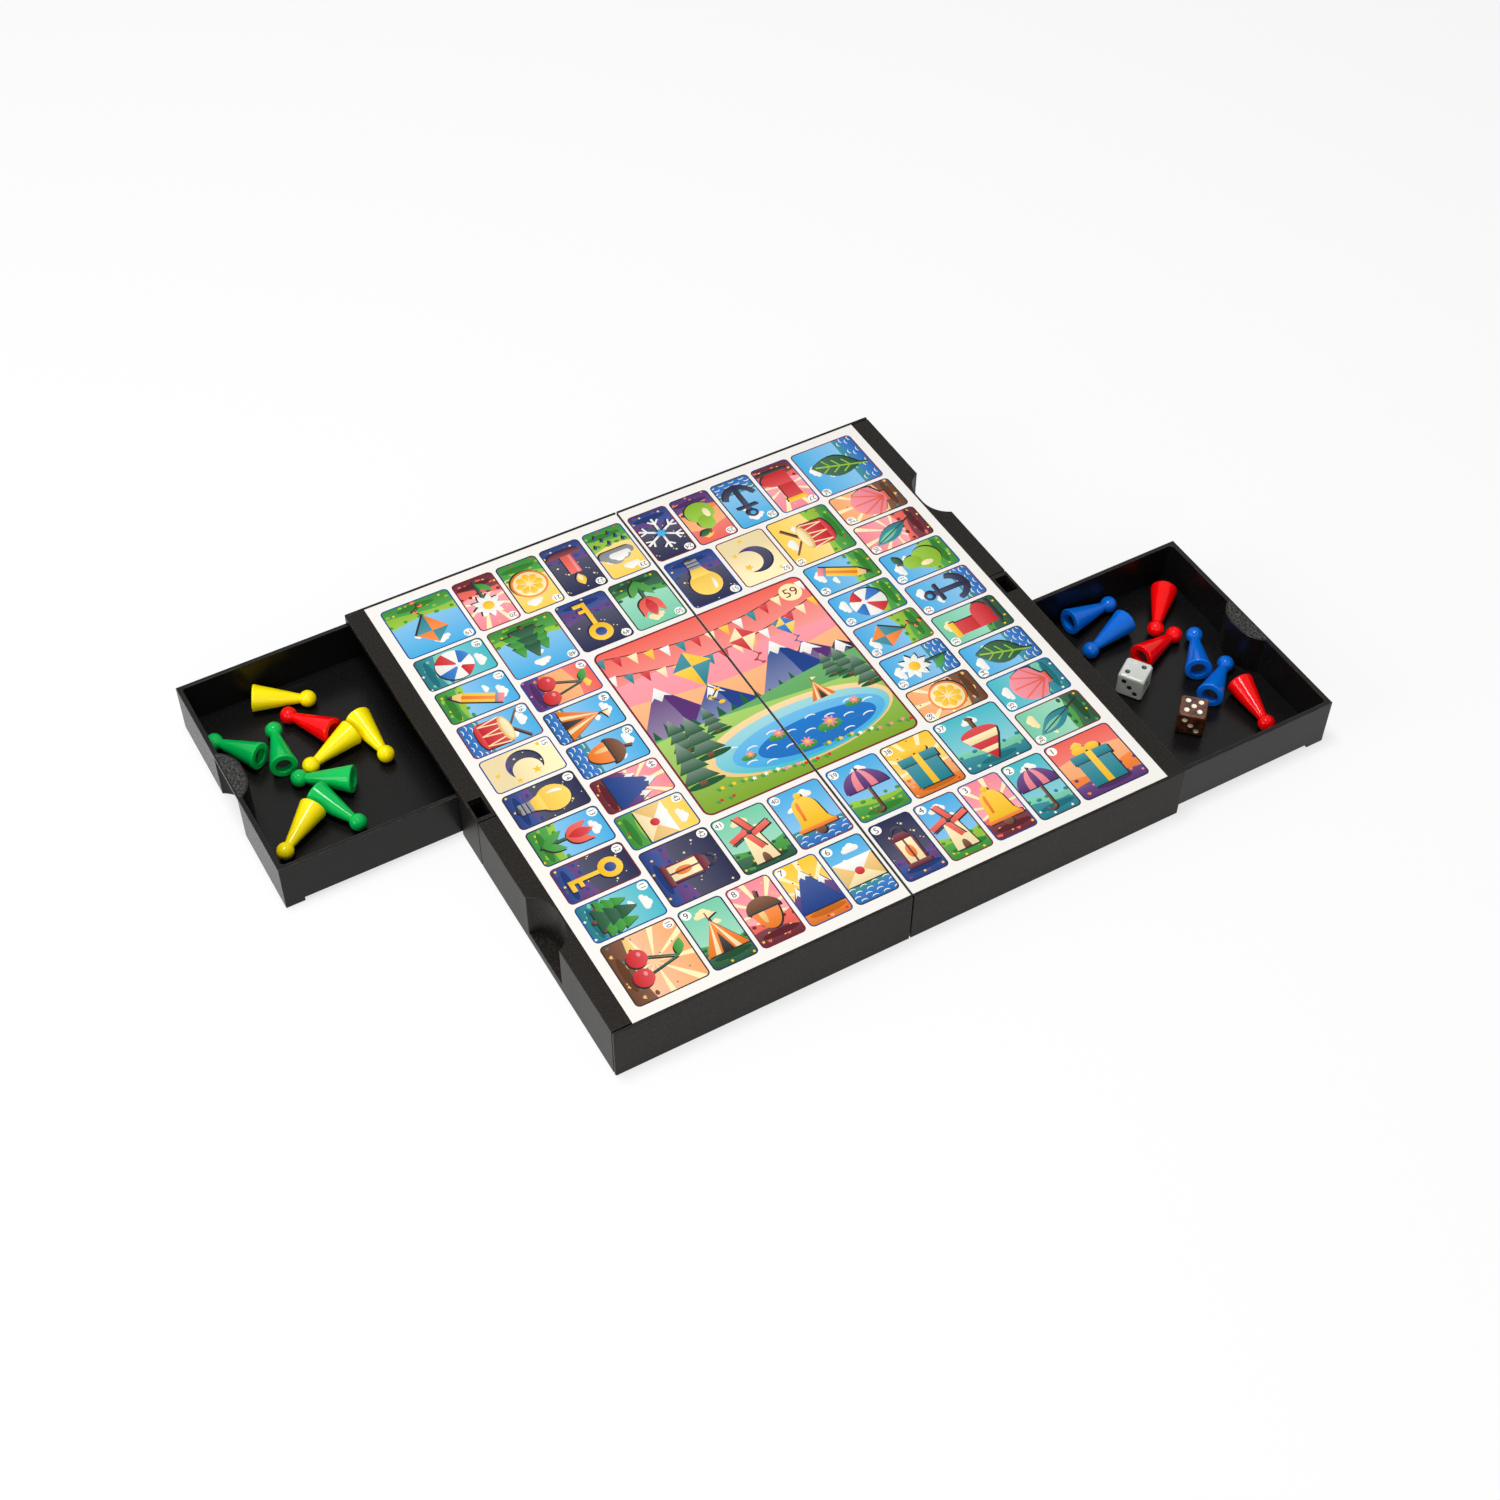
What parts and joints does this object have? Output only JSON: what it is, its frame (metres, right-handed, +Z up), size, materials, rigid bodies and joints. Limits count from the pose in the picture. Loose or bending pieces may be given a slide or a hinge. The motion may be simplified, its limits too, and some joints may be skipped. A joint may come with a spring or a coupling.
{
  "type": "magnetic ludo board",
  "caption": "Folding black board-game case with a printed magnetic playing face on two halves, side drawers holding coloured pawns and dice, and finger notches along its outer sides.",
  "frame": {"origin": "on the table under the middle of the fold line, with the case lying open", "axes": "+X across the fold towards the half whose drawer is at the front, +Y along the fold to the back, +Z up"},
  "size_m": [0.42, 0.25, 0.027],
  "materials": {
    "case": "fine matt grain",
    "drawer": "satin",
    "steel": "tinned",
    "print": "printed film",
    "strip": "matt",
    "yellow": "moulded",
    "red": "moulded",
    "green": "moulded",
    "blue": "moulded",
    "magnet": "ferrite",
    "white_die": "satin",
    "brown_die": "clear brown"
  },
  "bodies": {
    "right_half": {"right_base": "case", "right_deck": "case", "right_grip_block": "case", "right_steel_sheet": "steel", "right_print_sheet": "print", "hinge_strip": "strip"},
    "left_half": {"left_base": "case", "left_deck": "case", "left_grip_block": "case", "left_steel_sheet": "steel", "left_print_sheet": "print"},
    "right_drawer": {"right_drawer": "drawer"},
    "left_drawer": {"left_drawer": "drawer"},
    "yellow_pawn_1": {"yellow_pawn_1": "yellow", "yellow_pawn_1_magnet": "magnet"},
    "yellow_pawn_2": {"yellow_pawn_2": "yellow", "yellow_pawn_2_magnet": "magnet"},
    "yellow_pawn_3": {"yellow_pawn_3": "yellow", "yellow_pawn_3_magnet": "magnet"},
    "yellow_pawn_4": {"yellow_pawn_4": "yellow", "yellow_pawn_4_magnet": "magnet"},
    "red_pawn_1": {"red_pawn_1": "red", "red_pawn_1_magnet": "magnet"},
    "green_pawn_1": {"green_pawn_1": "green", "green_pawn_1_magnet": "magnet"},
    "green_pawn_2": {"green_pawn_2": "green", "green_pawn_2_magnet": "magnet"},
    "green_pawn_3": {"green_pawn_3": "green", "green_pawn_3_magnet": "magnet"},
    "green_pawn_4": {"green_pawn_4": "green", "green_pawn_4_magnet": "magnet"},
    "red_pawn_2": {"red_pawn_2": "red", "red_pawn_2_magnet": "magnet"},
    "red_pawn_3": {"red_pawn_3": "red", "red_pawn_3_magnet": "magnet"},
    "red_pawn_4": {"red_pawn_4": "red", "red_pawn_4_magnet": "magnet"},
    "blue_pawn_1": {"blue_pawn_1": "blue", "blue_pawn_1_magnet": "magnet"},
    "blue_pawn_2": {"blue_pawn_2": "blue", "blue_pawn_2_magnet": "magnet"},
    "blue_pawn_3": {"blue_pawn_3": "blue", "blue_pawn_3_magnet": "magnet"},
    "blue_pawn_4": {"blue_pawn_4": "blue", "blue_pawn_4_magnet": "magnet"},
    "white_die": {"white_die": "white_die"},
    "brown_die": {"brown_die": "brown_die"}
  },
  "joints": [
    {"name": "fold", "type": "hinge", "parent": "right_half", "child": "left_half", "pos_m": [0, 0, 0.02715], "axis": [0, -1, 0], "range_deg": [-180, 0], "deforming": ["hinge_strip"]},
    {"name": "right_drawer_slide", "type": "slide", "parent": "right_half", "child": "right_drawer", "axis": [1, 0, 0], "range_m": [-0.078, 0]},
    {"name": "left_drawer_slide", "type": "slide", "parent": "left_half", "child": "left_drawer", "axis": [-1, 0, 0], "range_m": [-0.078, 0]},
    {"name": "yellow_pawn_1_lift", "type": "slide", "parent": "left_drawer", "child": "yellow_pawn_1", "axis": [0, 0, 1], "range_m": [0, 0.03]},
    {"name": "yellow_pawn_2_lift", "type": "slide", "parent": "left_drawer", "child": "yellow_pawn_2", "axis": [0, 0, 1], "range_m": [0, 0.03]},
    {"name": "yellow_pawn_3_lift", "type": "slide", "parent": "left_drawer", "child": "yellow_pawn_3", "axis": [0, 0, 1], "range_m": [0, 0.03]},
    {"name": "yellow_pawn_4_lift", "type": "slide", "parent": "left_drawer", "child": "yellow_pawn_4", "axis": [0, 0, 1], "range_m": [0, 0.03]},
    {"name": "red_pawn_1_lift", "type": "slide", "parent": "left_drawer", "child": "red_pawn_1", "axis": [0, 0, 1], "range_m": [0, 0.03]},
    {"name": "green_pawn_1_lift", "type": "slide", "parent": "left_drawer", "child": "green_pawn_1", "axis": [0, 0, 1], "range_m": [0, 0.03]},
    {"name": "green_pawn_2_lift", "type": "slide", "parent": "left_drawer", "child": "green_pawn_2", "axis": [0, 0, 1], "range_m": [0, 0.03]},
    {"name": "green_pawn_3_lift", "type": "slide", "parent": "left_drawer", "child": "green_pawn_3", "axis": [0, 0, 1], "range_m": [0, 0.03]},
    {"name": "green_pawn_4_lift", "type": "slide", "parent": "left_drawer", "child": "green_pawn_4", "axis": [0, 0, 1], "range_m": [0, 0.03]},
    {"name": "red_pawn_2_lift", "type": "slide", "parent": "right_drawer", "child": "red_pawn_2", "axis": [0, 0, 1], "range_m": [0, 0.03]},
    {"name": "red_pawn_3_lift", "type": "slide", "parent": "right_drawer", "child": "red_pawn_3", "axis": [0, 0, 1], "range_m": [0, 0.03]},
    {"name": "red_pawn_4_lift", "type": "slide", "parent": "right_drawer", "child": "red_pawn_4", "axis": [0, 0, 1], "range_m": [0, 0.03]},
    {"name": "blue_pawn_1_lift", "type": "slide", "parent": "right_drawer", "child": "blue_pawn_1", "axis": [0, 0, 1], "range_m": [0, 0.03]},
    {"name": "blue_pawn_2_lift", "type": "slide", "parent": "right_drawer", "child": "blue_pawn_2", "axis": [0, 0, 1], "range_m": [0, 0.03]},
    {"name": "blue_pawn_3_lift", "type": "slide", "parent": "right_drawer", "child": "blue_pawn_3", "axis": [0, 0, 1], "range_m": [0, 0.03]},
    {"name": "blue_pawn_4_lift", "type": "slide", "parent": "right_drawer", "child": "blue_pawn_4", "axis": [0, 0, 1], "range_m": [0, 0.03]},
    {"name": "white_die_lift", "type": "slide", "parent": "right_drawer", "child": "white_die", "axis": [0, 0, 1], "range_m": [0, 0.03]},
    {"name": "brown_die_lift", "type": "slide", "parent": "right_drawer", "child": "brown_die", "axis": [0, 0, 1], "range_m": [0, 0.03]}
  ]
}
